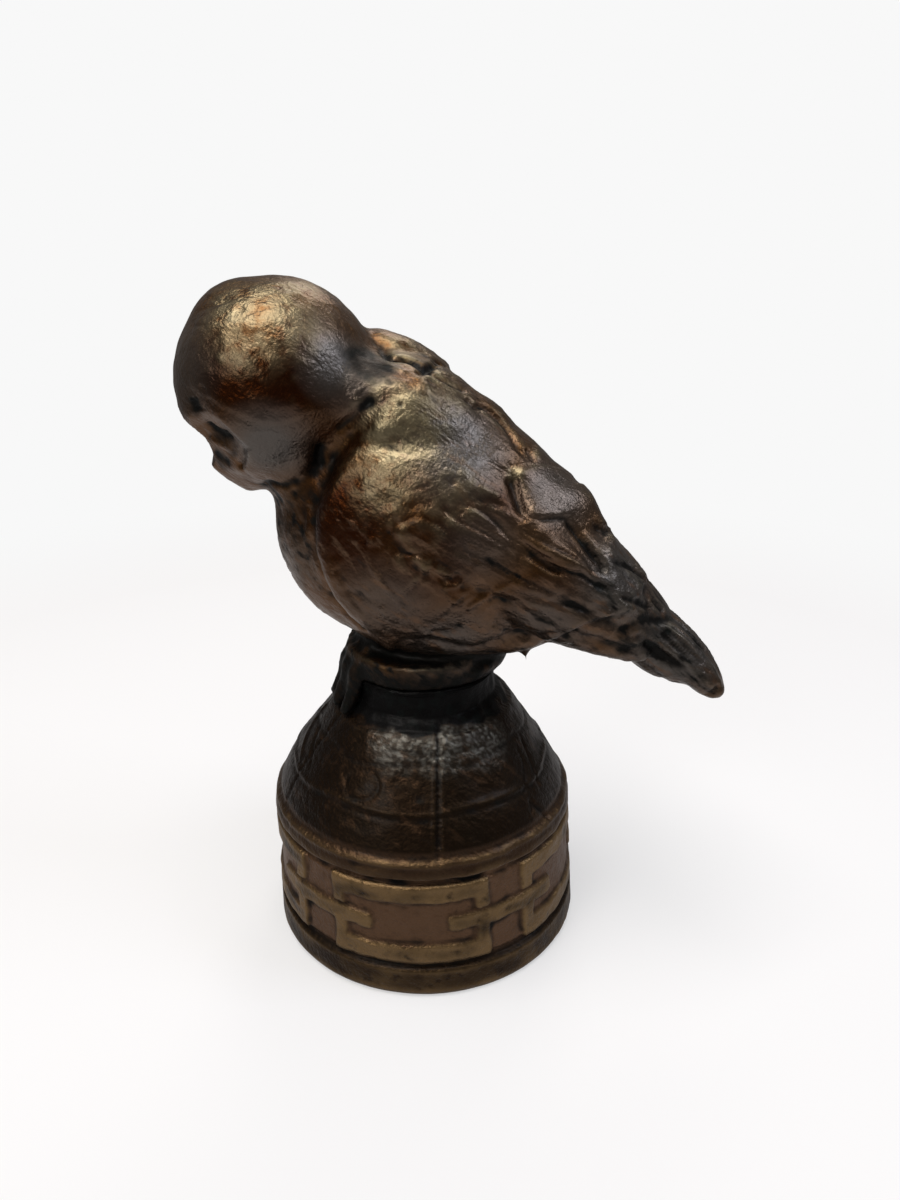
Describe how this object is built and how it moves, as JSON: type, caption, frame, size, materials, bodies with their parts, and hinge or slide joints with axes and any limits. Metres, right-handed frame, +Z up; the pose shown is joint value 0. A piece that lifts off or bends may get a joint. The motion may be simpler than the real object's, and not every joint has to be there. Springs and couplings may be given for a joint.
{
  "type": "bronze owl sculpture on a round plinth",
  "caption": "Small cast bronze owl, head bowed and turned aside, perched on a round domed plinth with a raised key-pattern band.",
  "frame": {"origin": "centre of the plinth's flat underside, on the surface that the sculpture stands on", "axes": "+Z up along the plinth's axis; the owl faces -X and its tail points to +X, turned 8 degrees towards -Y; its left side is towards -Y"},
  "size_m": [0.1294, 0.08, 0.1626],
  "materials": {
    "owl_bronze": "cast bronze with a waxed brown patina, rubbed golden on the crown and shoulders",
    "plinth_bronze": "cast bronze with a dark brown patina, near black at the neck, its raised fret rubbed to dull brass"
  },
  "bodies": {
    "root": {"owl": "owl_bronze", "plinth": "plinth_bronze"}
  },
  "joints": []
}
